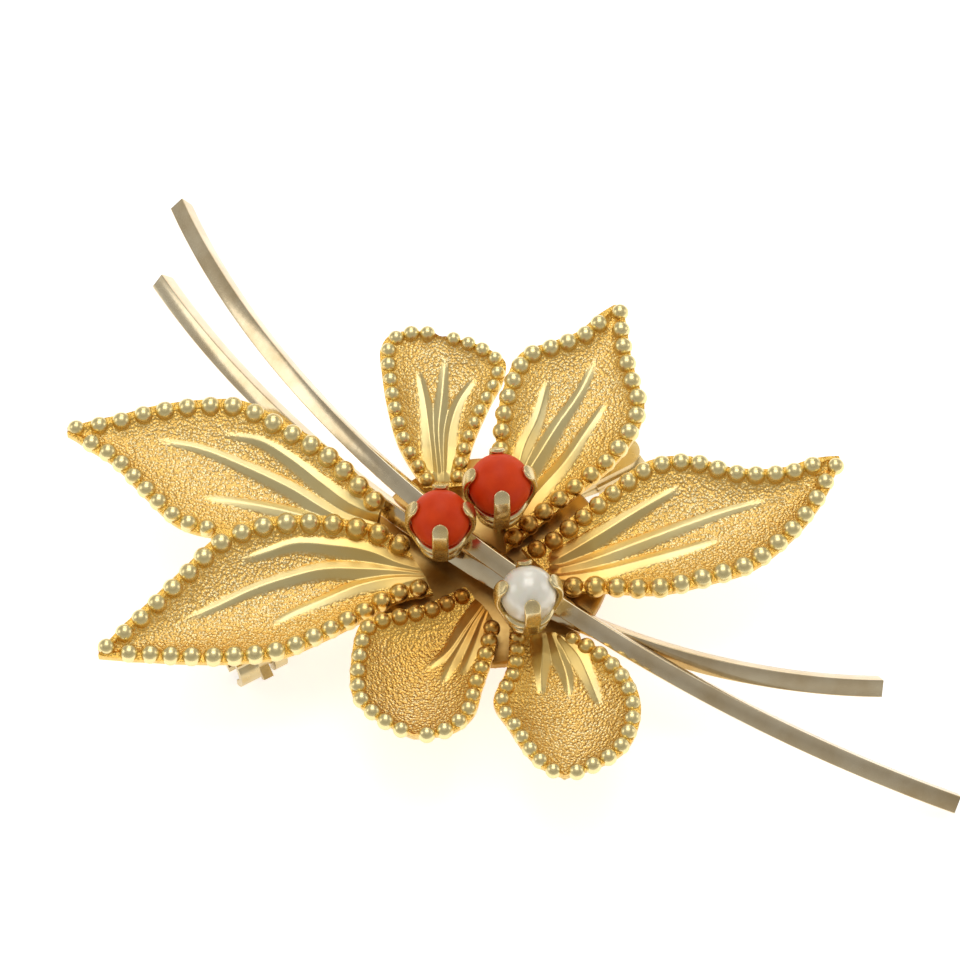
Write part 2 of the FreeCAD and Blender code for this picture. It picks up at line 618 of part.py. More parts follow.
def check_and_write():
    """Stop on a failed object or a bad shape, then write one STEP file for each piece."""
    for obj in DOC.Objects:
        if "Invalid" in obj.State or "Error" in obj.State:
            raise RuntimeError(f"{obj.Name} failed: {obj.State}")
    for obj in PARTS:
        if obj.Shape.isNull() or not obj.Shape.isValid():
            raise RuntimeError(f"{obj.Label} has a bad shape")
    os.makedirs("parts", exist_ok=True)
    for obj in PARTS:
        obj.Shape.exportStep(f"parts/{obj.Label}.step")
    box = FreeCAD.BoundBox()
    for obj in PARTS:
        box.add(obj.Shape.BoundBox)
    print(len(PARTS), "pieces")
    print("x", round(box.XMin, 2), round(box.XMax, 2), "y", round(box.YMin, 2), round(box.YMax, 2),
          "z", round(box.ZMin, 2), round(box.ZMax, 2))


make_all()
check_and_write()
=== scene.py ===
"""Looks of the spray brooch: finely modelled leaves, grains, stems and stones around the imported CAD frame."""

import math
import random

import bmesh
import bpy
import numpy as np
from mathutils import Matrix, Vector, noise


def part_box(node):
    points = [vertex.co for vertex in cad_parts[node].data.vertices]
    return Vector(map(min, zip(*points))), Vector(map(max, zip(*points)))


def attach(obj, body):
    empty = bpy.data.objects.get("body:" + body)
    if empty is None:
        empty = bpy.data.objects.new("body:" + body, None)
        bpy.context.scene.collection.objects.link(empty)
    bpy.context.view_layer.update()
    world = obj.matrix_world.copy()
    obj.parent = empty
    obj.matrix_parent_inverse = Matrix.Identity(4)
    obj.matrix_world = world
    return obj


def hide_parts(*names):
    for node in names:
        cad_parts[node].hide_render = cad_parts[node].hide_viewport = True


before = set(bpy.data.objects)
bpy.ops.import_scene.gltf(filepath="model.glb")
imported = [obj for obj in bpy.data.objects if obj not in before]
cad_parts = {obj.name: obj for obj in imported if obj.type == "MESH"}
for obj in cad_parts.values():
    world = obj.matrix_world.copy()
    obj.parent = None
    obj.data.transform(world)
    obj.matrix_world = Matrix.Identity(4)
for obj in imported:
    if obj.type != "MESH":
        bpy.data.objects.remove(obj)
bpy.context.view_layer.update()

MM = 0.001
RNG = random.Random(7)

# The flower's middle in the row frame, and sizes in mm. They are part.py's, but for the rim edge, the claws'
# width, thickness and tip angle, and the grains' swell, which suit the finer meshes here.
CENTRE = np.array([-1.1, -5.0, 0.0])
SHEET = 0.7
RIM_EDGE = 0.5
TIP_EDGE = 0.15
GRAIN_LARGE = 1.34
GRAIN_SMALL = 1.08
GRAIN_GAP = 0.04
GRAIN_SINK = 0.12
GRAIN_SWELL = (1.03, 1.07)
STEM_SIDE = 1.1
STEM_ROLL = 30.0

# ---------------------------------------------------------------- leaves: rims as in part.py, and veins

# left and right: points (x, y, z) along the rows of grains from base to tip, in mm in the flower frame;
# cup: depth of the middle; bare: share of the left row with no grains, from the base; steps: from the
# first grain of each row, left and right, to the grain on the tip;
# veins: points (x, y) from base to tip.
LEAVES = {
    "petal_upper_left": {
        "left": [(-7.0, 1.2, 5.4), (-9.5, 1.0, 5.5), (-12.5, 1.0, 5.7), (-16.2, 1.1, 6.0), (-18.9, 1.6, 6.5),
                 (-21.2, 3.7, 6.9), (-23.3, 5.9, 7.2), (-25.4, 7.1, 7.5), (-26.2, 7.5, 7.5)],
        "right": [(-6.6, 2.4, 6.6), (-7.9, 3.8, 6.8), (-9.9, 6.0, 6.9), (-12.9, 8.1, 7.0), (-15.5, 9.6, 7.1),
                  (-17.9, 9.7, 7.1), (-20.8, 9.2, 7.2), (-23.5, 8.3, 7.3), (-26.2, 7.7, 7.5)],
        "cup": 0.8, "bare": 0.45, "steps": (9, 15),
        "veins": [[(-5.7, 1.5), (-8.4, 2.8), (-10.3, 4.4), (-12.4, 6.2), (-14.4, 7.5), (-16.7, 8.0)],
                  [(-6.1, 1.1), (-9.2, 2.2), (-12.3, 4.3), (-15.5, 6.0), (-18.0, 7.0), (-20.8, 7.5)],
                  [(-8.5, 1.2), (-11.9, 2.5), (-13.6, 3.0), (-15.6, 3.4), (-17.7, 3.6)]]},
    "petal_lower_left": {
        "left": [(-3.6, -2.6, 5.4), (-5.5, -3.1, 5.5), (-7.7, -4.7, 5.8), (-10.1, -6.4, 6.2),
                 (-12.6, -7.8, 6.5), (-15.8, -8.4, 6.8), (-18.5, -8.5, 7.0), (-21.6, -8.5, 7.3),
                 (-23.4, -8.7, 7.5)],
        "right": [(-4.9, 0.0, 5.6), (-6.8, 0.7, 6.4), (-8.4, 0.9, 6.7), (-10.2, 1.1, 6.9), (-13.6, 0.7, 7.2),
                  (-16.3, -0.6, 7.3), (-18.4, -3.0, 7.3), (-20.6, -5.7, 7.4), (-22.7, -8.0, 7.5),
                  (-23.4, -8.5, 7.5)],
        "cup": 1.2, "bare": 0.0, "steps": (16, 15),
        "veins": [[(-3.6, -1.6), (-5.4, -1.1), (-7.1, -0.5), (-9.3, -0.2), (-11.8, -0.2), (-13.5, -0.8),
                   (-15.2, -1.5)],
                  [(-3.6, -1.9), (-5.4, -1.6), (-7.6, -1.5), (-10.1, -1.6), (-12.6, -2.4), (-14.4, -3.2),
                   (-16.7, -4.6), (-18.5, -5.7)],
                  [(-3.6, -2.1), (-5.6, -2.1), (-7.9, -2.6), (-10.1, -3.7), (-12.1, -4.8), (-13.3, -5.7)]]},
    "petal_top": {
        "left": [(-3.5, 4.7, 5.4), (-5.1, 7.5, 6.0), (-5.8, 9.9, 6.5), (-6.2, 12.5, 6.8), (-6.3, 14.1, 7.0),
                 (-5.7, 15.2, 7.0), (-4.5, 15.5, 7.0), (-3.3, 15.4, 7.0)],
        "right": [(-2.0, 4.8, 5.4), (-1.5, 7.4, 5.8), (-0.4, 10.4, 6.1), (0.5, 12.4, 6.3), (0.6, 13.5, 6.6),
                  (-0.4, 14.3, 6.9), (-1.8, 14.9, 7.0), (-2.7, 15.2, 7.0)],
        "cup": 0.9, "bare": 0.0, "steps": (12, 12),
        "veins": [[(-3.4, 5.8), (-3.7, 8.9), (-4.0, 11.2), (-4.4, 13.1)],
                  [(-2.9, 5.8), (-3.1, 9.0), (-2.9, 11.4), (-2.7, 14.1)],
                  [(-2.6, 5.8), (-2.4, 9.0), (-1.8, 11.1), (-0.8, 12.7)]]},
    "petal_upper_right": {
        "left": [(1.1, 4.1, 5.4), (0.8, 7.0, 6.2), (0.9, 8.4, 6.6), (1.3, 10.7, 6.9), (2.5, 13.5, 7.1),
                 (4.6, 14.4, 7.2), (6.3, 15.2, 7.3), (7.8, 16.8, 7.5), (8.2, 17.3, 7.5)],
        "right": [(1.1, 0.6, 5.3), (2.9, 2.3, 5.5), (5.1, 4.1, 6.0), (7.6, 6.3, 6.4), (9.0, 8.5, 6.7),
                  (9.4, 10.1, 6.9), (8.9, 12.3, 7.1), (8.5, 14.6, 7.3), (8.4, 16.5, 7.5), (8.4, 17.3, 7.5)],
        "cup": 1.0, "bare": 0.0, "steps": (13, 15),
        "veins": [[(1.5, 3.6), (1.7, 5.1), (2.3, 7.5), (3.1, 9.5), (3.8, 12.3)],
                  [(1.6, 3.6), (2.1, 4.9), (3.3, 7.1), (4.4, 9.1), (5.8, 11.4), (6.9, 13.8)],
                  [(2.0, 3.0), (2.9, 4.0), (4.7, 6.2), (6.1, 8.5), (7.4, 10.6)]]},
    "petal_right": {
        "left": [(2.4, -0.1, 5.3), (3.8, 0.6, 5.4), (6.0, 2.3, 5.9), (8.2, 4.1, 6.3), (10.1, 5.4, 6.6),
                 (12.4, 5.7, 6.8), (15.5, 4.7, 7.0), (18.5, 4.6, 7.2), (21.0, 5.4, 7.4), (21.8, 5.6, 7.4)],
        "right": [(4.6, -2.6, 5.4), (6.8, -2.8, 5.8), (10.3, -3.2, 6.3), (13.7, -2.5, 6.6), (15.9, -1.8, 6.8),
                  (18.5, 0.4, 7.0), (20.1, 2.5, 7.2), (21.3, 4.7, 7.4), (21.9, 5.4, 7.4)],
        "cup": 1.1, "bare": 0.0, "steps": (17, 15),
        "veins": [[(4.4, -0.5), (6.8, 1.0), (8.7, 2.3), (10.4, 3.4), (12.0, 4.3)],
                  [(4.4, -1.3), (6.8, -0.5), (9.7, 0.7), (12.5, 1.8), (14.6, 2.5), (17.3, 3.1)],
                  [(4.4, -2.0), (6.8, -1.6), (9.6, -0.8), (11.7, -0.2), (14.4, 0.6)]]},
    "petal_bottom_left": {
        "left": [(0.3, -5.0, 5.4), (-0.1, -7.5, 5.9), (-0.8, -10.2, 6.3), (-1.3, -12.2, 6.6),
                 (-2.3, -13.4, 6.8), (-3.5, -13.9, 6.9), (-4.2, -13.9, 6.9)],
        "right": [(-1.1, -3.0, 5.4), (-3.4, -4.5, 5.9), (-5.7, -5.4, 6.3), (-7.2, -6.1, 6.5),
                  (-7.8, -9.0, 6.6), (-7.6, -11.4, 6.8), (-6.4, -12.8, 6.9), (-5.3, -13.5, 6.9),
                  (-4.7, -13.8, 6.9)],
        "cup": 1.1, "bare": 0.0, "steps": (9, 14),
        "veins": [[(-0.4, -4.1), (-1.4, -5.6), (-2.4, -7.2), (-3.7, -8.5)],
                  [(-0.1, -4.0), (-0.8, -5.1), (-1.8, -7.2), (-2.8, -9.7)],
                  [(0.1, -4.1), (-0.3, -5.1), (-0.9, -7.1), (-1.6, -9.2)]]},
    "petal_bottom_right": {
        "left": [(4.6, -6.1, 5.4), (6.6, -7.7, 6.0), (8.2, -10.0, 6.4), (8.6, -12.4, 6.7), (7.7, -14.9, 6.9),
                 (5.9, -16.2, 7.0), (4.7, -16.7, 7.0)],
        "right": [(1.8, -5.7, 5.4), (1.6, -8.9, 6.1), (0.8, -11.5, 6.5), (1.7, -13.4, 6.7), (2.6, -15.1, 6.9),
                  (3.5, -16.2, 7.0), (4.3, -16.7, 7.0)],
        "cup": 1.1, "bare": 0.0, "steps": (12, 11),
        "veins": [[(3.3, -6.4), (3.3, -7.1), (3.2, -8.8), (3.2, -10.4)],
                  [(3.9, -6.3), (4.3, -7.5), (4.7, -8.8), (4.9, -10.4)],
                  [(4.4, -6.4), (5.4, -7.7), (6.0, -9.1), (6.7, -11.3)]]},
}

STEMS = {
    "stem_long": {"start": (-20.0, 26.7, 5.5), "bend": (-15.4, 16.8), "middle": (-0.2, -1.0, 6.76),
                  "end": (28.3, -15.2, 0.76)},
    "stem_short": {"start": (-21.1, 21.7, 4.0), "bend": (-11.4, 8.3), "middle": (0.1, -1.7, 5.26),
                   "end": (24.0, -7.7, 2.0)},
}

# Each setting: its stone and its first claw's direction in degrees.
SETTINGS = {"coral_setting_left": ("coral_left", 0.0), "coral_setting_right": ("coral_right", 4.0),
            "pearl_setting": ("pearl", 8.0)}
CLAWS = 4
CLAW_WIDTH = 1.0
CLAW_THICK = 0.36
CLAW_CLEARANCE = 0.02
CLAW_TIP_ANGLE = 46.0
CLAW_FOOT_ANGLE = 20.0
CLAW_LEG = 2.0
GALLERY_ANGLE = 46.0
GALLERY_RADIUS = 0.25
GALLERY_WIRE = 0.24
SEAT_HALF = 0.25
SEAT_SOFT = 0.1
POST_RADIUS = 0.4
AXIS_GAP = 0.01

FINE_ALONG = 220
FINE_ACROSS = 110
VEIN_HEIGHT = 0.4
VEIN_HALF_WIDTH = 0.74


# ---------------------------------------------------------------- curves and meshes

def smooth_curve(points, count):
    """Points evenly spaced along a centripetal Catmull-Rom curve through the given points."""
    pts = np.array(points, float)
    first = 2 * pts[0] - pts[1]
    last = 2 * pts[-1] - pts[-2]
    pts = np.vstack([first, pts, last])
    dense = []
    for i in range(len(pts) - 3):
        p0, p1, p2, p3 = pts[i:i + 4]
        knots = [0.0]
        for a, b in ((p0, p1), (p1, p2), (p2, p3)):
            knots.append(knots[-1] + max(1e-6, np.linalg.norm(b - a)) ** 0.5)
        t0, t1, t2, t3 = knots
        for t in np.linspace(t1, t2, 40, endpoint=False):
            a1 = p0 * (t1 - t) / (t1 - t0) + p1 * (t - t0) / (t1 - t0)
            a2 = p1 * (t2 - t) / (t2 - t1) + p2 * (t - t1) / (t2 - t1)
            a3 = p2 * (t3 - t) / (t3 - t2) + p3 * (t - t2) / (t3 - t2)
            b1 = a1 * (t2 - t) / (t2 - t0) + a2 * (t - t0) / (t2 - t0)
            b2 = a2 * (t3 - t) / (t3 - t1) + a3 * (t - t1) / (t3 - t1)
            dense.append(b1 * (t2 - t) / (t2 - t1) + b2 * (t - t1) / (t2 - t1))
    dense.append(pts[-2])
    dense = np.array(dense)
    steps = np.r_[0, np.cumsum(np.linalg.norm(np.diff(dense, axis=0), axis=1))]
    wanted = np.linspace(0, steps[-1], count)
    return np.stack([np.interp(wanted, steps, dense[:, k]) for k in range(dense.shape[1])], axis=1)


def mesh_object(name, verts_mm, faces):
    """A smooth-shaded mesh object from points in mm in the flower frame."""
    mesh = bpy.data.meshes.new(name)
    mesh.from_pydata([tuple(v) for v in (np.asarray(verts_mm) + CENTRE) * MM], [], faces)
    mesh.validate()
    mesh.update()
    mesh.polygons.foreach_set("use_smooth", [True] * len(mesh.polygons))
    obj = bpy.data.objects.new(name, mesh)
    bpy.context.scene.collection.objects.link(obj)
    return obj


def grid_faces(rows, columns, offset=0, flip=False):
    """Quads of a grid of points."""
    faces = []
    for i in range(rows - 1):
        for j in range(columns - 1):
            a = offset + i * columns + j
            quad = (a, a + 1, a + 1 + columns, a + columns)
            faces.append(quad[::-1] if flip else quad)
    return faces


def face_outward(obj):
    """Turn every face of a closed mesh outward."""
    bm = bmesh.new()
    bm.from_mesh(obj.data)
    bmesh.ops.recalc_face_normals(bm, faces=bm.faces)
    bm.to_mesh(obj.data)
    bm.free()


def add_attribute(obj, name, values):
    """A number at every vertex, read by the material."""
    attribute = obj.data.attributes.new(name, "FLOAT", "POINT")
    attribute.data.foreach_set("value", np.asarray(values, np.float32))


# ---------------------------------------------------------------- leaves

def leaf_points(leaf, rows, columns):
    """A leaf's smooth top face, made as in part.py, with along and across for every point and its widths."""
    right = smooth_curve(leaf["right"], rows)
    left = smooth_curve(leaf["left"], rows)
    along = np.linspace(0, 1, rows)
    width = np.linalg.norm(left - right, axis=1)
    edge = TIP_EDGE + (RIM_EDGE - TIP_EDGE) * np.minimum(1.0, 12 * (1 - along))
    beyond = (edge / width)[:, None]
    steps = np.linspace(0, 1, columns)[None, :]
    across = -beyond + (1 + 2 * beyond) * steps
    depth = leaf["cup"] * (0.15 + 0.85 * np.sin(math.pi * along ** 0.8))
    points = right[:, None, :] + (left - right)[:, None, :] * across[:, :, None]
    inside = np.maximum(0.0, 4 * across * (1 - across))
    points[:, :, 2] -= depth[:, None] * inside
    return points, np.broadcast_to(along[:, None], across.shape), across, width


def nearest_on_line(flat, line):
    """For every point: its distance from a polyline and how far along the polyline its foot lies, 0 to 1."""
    start = line[:-1]
    reach = line[1:] - start
    offset = flat[:, None, :] - start[None, :, :]
    share = np.clip((offset * reach).sum(axis=2) / (reach ** 2).sum(axis=1), 0, 1)
    gaps = np.linalg.norm(offset - share[:, :, None] * reach, axis=2)
    nearest = gaps.argmin(axis=1)
    every = np.arange(len(flat))
    return gaps[every, nearest], (nearest + share[every, nearest]) / len(start)


def vein_heights(leaf, points):
    """Height of the raised veins at every point, and how much of a vein each point is."""
    flat = points[:, :, :2].reshape(-1, 2)
    height = np.zeros(len(flat))
    share = np.zeros(len(flat))
    for vein in leaf["veins"]:
        gap, place = nearest_on_line(flat, smooth_curve(vein, 50))
        taper = np.clip((1 - place) / 0.75, 0, 1) ** 0.7
        half = VEIN_HALF_WIDTH * (0.25 + 0.75 * taper)
        ridge = np.clip(1 - gap / half, 0, 1)
        rounded = np.sqrt(np.clip(1 - (1 - ridge) ** 2, 0, 1)) * 0.25 + ridge * 0.75
        height = np.maximum(height, VEIN_HEIGHT * taper * rounded)
        share = np.maximum(share, np.clip(ridge * 3.0, 0, 1) * np.clip(taper * 4, 0, 1))
    shape = points.shape[:2]
    return height.reshape(shape), share.reshape(shape)


def build_leaf(name, leaf):
    """One leaf as a closed, finely modelled sheet with its raised veins."""
    points, along, across, width = leaf_points(leaf, FINE_ALONG, FINE_ACROSS)
    veins, vein_share = vein_heights(leaf, points)
    from_edge = np.minimum(across, 1 - across) * width[:, None]
    top = points.copy()
    top[:, :, 2] += veins * np.clip(from_edge / 0.5, 0, 1)
    bottom = points.copy()
    bottom[:, :, 2] -= SHEET * (0.5 + 0.5 * np.clip((from_edge + 0.4) / 0.8, 0, 1))
    rows, columns = along.shape
    verts = np.vstack([top.reshape(-1, 3), bottom.reshape(-1, 3)])
    base = rows * columns
    faces = grid_faces(rows, columns, 0, flip=True) + grid_faces(rows, columns, base, flip=False)
    loop = list(range(columns))
    loop += [i * columns + columns - 1 for i in range(1, rows)]
    loop += [(rows - 1) * columns + j for j in range(columns - 2, -1, -1)]
    loop += [i * columns for i in range(rows - 2, 0, -1)]
    for a, b in zip(loop, loop[1:] + loop[:1]):
        faces.append((a, b, base + b, base + a))
    leaf_piece = mesh_object(name + "_leaf", verts, faces)
    face_outward(leaf_piece)
    add_attribute(leaf_piece, "vein", np.r_[vein_share.ravel(), np.full(base, 0.6)])
    # Painted shade: rim is highest near the sheet's edges, beside the grains, where the material paints orange
    # shade and reflection.
    rim = np.exp(-np.maximum(from_edge, 0) / 1.3).ravel()
    add_attribute(leaf_piece, "rim", np.r_[rim, rim])
    leaf_piece.data.materials.append(material_leaf())
    mark_sharp_edges(leaf_piece)
    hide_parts(name)
    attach(leaf_piece, "flower")


def mark_sharp_edges(obj, degrees=50):
    """Shade smooth except over edges sharper than this."""
    bm = bmesh.new()
    bm.from_mesh(obj.data)
    limit = math.radians(degrees)
    for edge in bm.edges:
        if len(edge.link_faces) == 2 and edge.calc_face_angle(0) > limit:
            edge.smooth = False
    bm.to_mesh(obj.data)
    bm.free()


# ---------------------------------------------------------------- grains

def ball(radius, centre, squash, spin):
    """Points and faces of a grain: a slightly flattened ball."""
    bm = bmesh.new()
    bmesh.ops.create_icosphere(bm, subdivisions=3, radius=radius)
    bmesh.ops.scale(bm, vec=squash, verts=bm.verts)
    bmesh.ops.rotate(bm, matrix=Matrix.Rotation(spin, 3, "Z"), verts=bm.verts)
    verts = [np.array(v.co) + centre for v in bm.verts]
    faces = [[v.index for v in f.verts] for f in bm.faces]
    bm.free()
    return verts, faces


def grain_row(points, bare, steps):
    """Middles and radii of the grains along one rim, spaced as in part.py, the last one on the tip."""
    line = smooth_curve(points, 400)
    places = np.r_[0, np.cumsum(np.linalg.norm(np.diff(line, axis=0), axis=1))]
    length = places[-1]
    first = length * bare + GRAIN_LARGE / 2
    pitch = (length - GRAIN_SMALL / 2 - first) / steps
    grains = []
    for step in range(steps + 1):
        place = first + pitch * step
        tapered = GRAIN_LARGE - (GRAIN_LARGE - GRAIN_SMALL) * (place / length) ** 2
        wander = 0.0 if step == steps else RNG.uniform(-0.03, 0.03)
        centre = np.array([np.interp(place + wander, places, line[:, k]) for k in range(3)])
        swell = 1.0 if step == steps else RNG.uniform(*GRAIN_SWELL)
        grains.append((centre, min(tapered, pitch - GRAIN_GAP) / 2 * swell))
    return grains


def build_grains(name, leaf):
    """Both rows of a leaf's grains in one piece, each grain a separate ball set in the sheet."""
    left_steps, right_steps = leaf["steps"]
    right = grain_row(leaf["right"], 0.0, right_steps)
    left = [grain for grain in grain_row(leaf["left"], leaf["bare"], left_steps)
            if min(np.linalg.norm(grain[0] - other[0]) - other[1] for other in right) > grain[1]]
    verts = []
    faces = []
    for centre, radius in right + left:
        sunk = centre - np.array([0, 0, GRAIN_SINK])
        squash = (RNG.uniform(0.97, 1.0), RNG.uniform(0.97, 1.0), RNG.uniform(0.94, 1.0))
        ball_verts, ball_faces = ball(radius, sunk, squash, RNG.uniform(0, math.pi))
        faces += [[index + len(verts) for index in face] for face in ball_faces]
        verts += ball_verts
    node = name.replace("petal", "grains")
    piece = mesh_object(node + "_row", verts, faces)
    piece.data.materials.append(material_grain())
    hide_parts(node)
    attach(piece, "flower")


# ---------------------------------------------------------------- stems

def arc_points(centre, start, end, count):
    """Points on the short arc from start to end about centre."""
    radius = np.linalg.norm(start - centre)
    first = (start - centre) / radius
    side = (end - centre) - first * np.dot(end - centre, first)
    side /= np.linalg.norm(side)
    turn = math.atan2(np.dot(end - centre, side), np.dot(end - centre, first))
    angles = np.linspace(0, turn, count)[:, None]
    return centre + radius * (np.cos(angles) * first + np.sin(angles) * side)


def stem_line(stem):
    """Centre line of a stem and the normal of its plane, as in part.py."""
    start, middle, end = (np.array(stem[key]) for key in ("start", "middle", "end"))
    normal = np.cross(middle - start, end - start)
    normal /= np.linalg.norm(normal) * (1 if normal[2] > 0 else -1)
    bend = np.array([*stem["bend"], 0.0])
    bend[2] = start[2] - (normal[0] * (bend[0] - start[0]) + normal[1] * (bend[1] - start[1])) / normal[2]
    u = bend - start
    v = middle - start
    w = np.cross(u, v)
    centre = start + (np.cross(w, u) * np.dot(v, v) + np.cross(v, w) * np.dot(u, u)) / (2 * np.dot(w, w))
    to_centre = (centre - middle) / np.linalg.norm(centre - middle)
    chord = end - middle
    second = middle + to_centre * np.dot(chord, chord) / (2 * np.dot(chord, to_centre))
    line = np.vstack([arc_points(centre, start, middle, 90), arc_points(second, middle, end, 90)[1:]])
    return line, normal


def build_stem(name, stem):
    """A stem of square wire with softened edges and flat ends."""
    line, normal = stem_line(stem)
    half = STEM_SIDE / 2
    soften = 0.07
    section = []
    for quarter in range(4):
        corner = math.radians(45 + 90 * quarter)
        for step in range(4):
            angle = corner + math.radians(-45 + 90 * step / 3)
            cx = math.copysign(half - soften, math.cos(corner))
            cy = math.copysign(half - soften, math.sin(corner))
            section.append((cx + soften * math.cos(angle), cy + soften * math.sin(angle)))
    section = np.array(section)
    roll = math.radians(STEM_ROLL)
    turn = np.array([[math.cos(roll), math.sin(roll)], [-math.sin(roll), math.cos(roll)]])
    section = section @ turn
    tangents = np.gradient(line, axis=0)
    tangents /= np.linalg.norm(tangents, axis=1)[:, None]
    verts = []
    for point, tangent in zip(line, tangents):
        outward = np.cross(tangent, normal)
        for a, b in section:
            verts.append(point + outward * a + normal * b)
    count = len(section)
    faces = []
    for i in range(len(line) - 1):
        for j in range(count):
            k = (j + 1) % count
            faces.append((i * count + j, i * count + k, (i + 1) * count + k, (i + 1) * count + j))
    for ring, flip in ((0, False), (len(line) - 1, True)):
        verts.append(line[ring])
        middle = len(verts) - 1
        for j in range(count):
            tri = (ring * count + j, ring * count + (j + 1) % count, middle)
            faces.append(tri[::-1] if not flip else tri)
    piece = mesh_object(name + "_wire", verts, faces)
    face_outward(piece)
    mark_sharp_edges(piece, 40)
    piece.data.materials.append(material_white_gold())
    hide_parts(name)
    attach(piece, "flower")


# ---------------------------------------------------------------- stones

def build_stone(name, material, wobble):
    """A finely meshed stone in place of the CAD ball, very slightly uneven."""
    low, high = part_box(name)
    middle = (low + high) / 2
    radius = (high - low).x / 2
    bm = bmesh.new()
    bmesh.ops.create_icosphere(bm, subdivisions=5, radius=radius)
    for vert in bm.verts:
        lump = noise.noise(vert.co / radius * 1.3 + Vector((5.0, 1.0, 2.0)))
        vert.co *= 1 - wobble * (0.5 + 0.5 * lump)
        vert.co += middle
    mesh = bpy.data.meshes.new(name + "_stone")
    bm.to_mesh(mesh)
    bm.free()
    mesh.polygons.foreach_set("use_smooth", [True] * len(mesh.polygons))
    piece = bpy.data.objects.new(name + "_stone", mesh)
    bpy.context.scene.collection.objects.link(piece)
    piece.data.materials.append(material)
    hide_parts(name)
    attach(piece, "flower")


# ---------------------------------------------------------------- settings

def claw_profile(radius):
    """The claw's middle line in its own plane (outward, up), its outward angles and distances to the tip."""
    middle = radius + CLAW_CLEARANCE + CLAW_THICK / 2
    foot = math.radians(CLAW_FOOT_ANGLE)
    tip = math.radians(CLAW_TIP_ANGLE)
    stops = []
    for step in range(12):
        drop = CLAW_LEG * (1 - step / 12)
        stops.append((middle * math.cos(foot) - drop * math.sin(foot),
                      -middle * math.sin(foot) - drop * math.cos(foot), -foot))
    for step in range(61):
        angle = -foot + (tip + foot) * step / 60
        stops.append((middle * math.cos(angle), middle * math.sin(angle), angle))
    line = np.array([stop[:2] for stop in stops])
    lengths = np.r_[0, np.cumsum(np.linalg.norm(np.diff(line, axis=0), axis=1))]
    return line, [stop[2] for stop in stops], lengths[-1] - lengths


def claw_mesh(radius, direction):
    """A claw: a flat strip with soft edges, bent over the stone and rounded like a tongue at its end."""
    line, angles, to_tip = claw_profile(radius)
    turn = np.array([math.cos(direction), math.sin(direction), 0.0])
    side = np.array([-turn[1], turn[0], 0.0])
    up = np.array([0.0, 0.0, 1.0])
    ring = 20
    verts = []
    for (out, height), angle, left in zip(line, angles, to_tip):
        end = min(1.0, left / (CLAW_WIDTH * 0.55))
        half_width = CLAW_WIDTH / 2 * max(0.05, math.sqrt(1 - (1 - end) ** 2))
        half_thick = CLAW_THICK / 2 * (0.6 + 0.4 * min(1.0, left / 0.8))
        normal = turn * math.cos(angle) + up * math.sin(angle)
        inner = turn * out + up * height - normal * (CLAW_THICK / 2 - half_thick)
        for step in range(ring):
            around = 2 * math.pi * step / ring
            across = math.copysign(abs(math.cos(around)) ** 0.45, math.cos(around)) * half_width
            lift = math.copysign(abs(math.sin(around)) ** 0.6, math.sin(around)) * half_thick
            verts.append(inner + side * across + normal * lift)
    faces = []
    for i in range(len(line) - 1):
        for j in range(ring):
            k = (j + 1) % ring
            faces.append((i * ring + j, i * ring + k, (i + 1) * ring + k, (i + 1) * ring + j))
    faces.append(tuple(range(ring)))
    faces.append(tuple(range((len(line) - 1) * ring, len(line) * ring)))
    return verts, faces


def turned_mesh(outline, segments=64):
    """A solid turned about Z from a closed outline of (radius, height) points."""
    verts = []
    for step in range(segments):
        angle = 2 * math.pi * step / segments
        verts += [np.array([r * math.cos(angle), r * math.sin(angle), z]) for r, z in outline]
    count = len(outline)
    faces = []
    for i in range(segments):
        for j in range(count):
            a, b = i * count + j, i * count + (j + 1) % count
            c, d = ((i + 1) % segments) * count + (j + 1) % count, ((i + 1) % segments) * count + j
            faces.append((a, d, c, b))
    return verts, faces


def build_setting(node, stone, turn):
    """A claw setting about its stone: seat cup, post, gallery ring and claws."""
    low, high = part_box(stone)
    middle = np.array((low + high) / 2) / MM - CENTRE
    radius = (high - low).x / 2 / MM
    claw_line = claw_profile(radius)[0]
    seat_out = claw_line[0][0] + CLAW_THICK / 2
    seat_up = claw_line[0][1]
    post_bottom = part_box(node)[0].z / MM - middle[2]
    gallery = radius + CLAW_CLEARANCE + GALLERY_RADIUS
    dip = math.radians(GALLERY_ANGLE)
    wire = [(gallery * math.cos(dip) + GALLERY_WIRE * math.cos(2 * math.pi * k / 16),
             -gallery * math.sin(dip) + GALLERY_WIRE * math.sin(2 * math.pi * k / 16)) for k in range(16)]
    shoulder = SEAT_HALF - SEAT_SOFT
    seat = [(AXIS_GAP, seat_up - SEAT_HALF), (seat_out - SEAT_SOFT, seat_up - SEAT_HALF),
            (seat_out, seat_up - shoulder), (seat_out, seat_up + shoulder),
            (seat_out - SEAT_SOFT, seat_up + SEAT_HALF), (AXIS_GAP, seat_up + SEAT_HALF)]
    post = [(AXIS_GAP, post_bottom), (POST_RADIUS, post_bottom), (POST_RADIUS, seat_up), (AXIS_GAP, seat_up)]
    pieces = [turned_mesh(wire), turned_mesh(seat), turned_mesh(post)]
    pieces += [claw_mesh(radius, math.radians(turn + number * 360 / CLAWS)) for number in range(CLAWS)]
    verts = []
    faces = []
    for piece_verts, piece_faces in pieces:
        faces += [[index + len(verts) for index in face] for face in piece_faces]
        verts += [vert + middle for vert in piece_verts]
    piece = mesh_object(node + "_claws", verts, faces)
    face_outward(piece)
    mark_sharp_edges(piece, 45)
    gold = material_polished("setting_gold", (0.86, 0.71, 0.40), (0.80, 0.60, 0.26), 0.16)
    piece.data.materials.append(gold)
    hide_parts(node)
    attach(piece, "flower")


# ---------------------------------------------------------------- materials

MATERIALS = {}


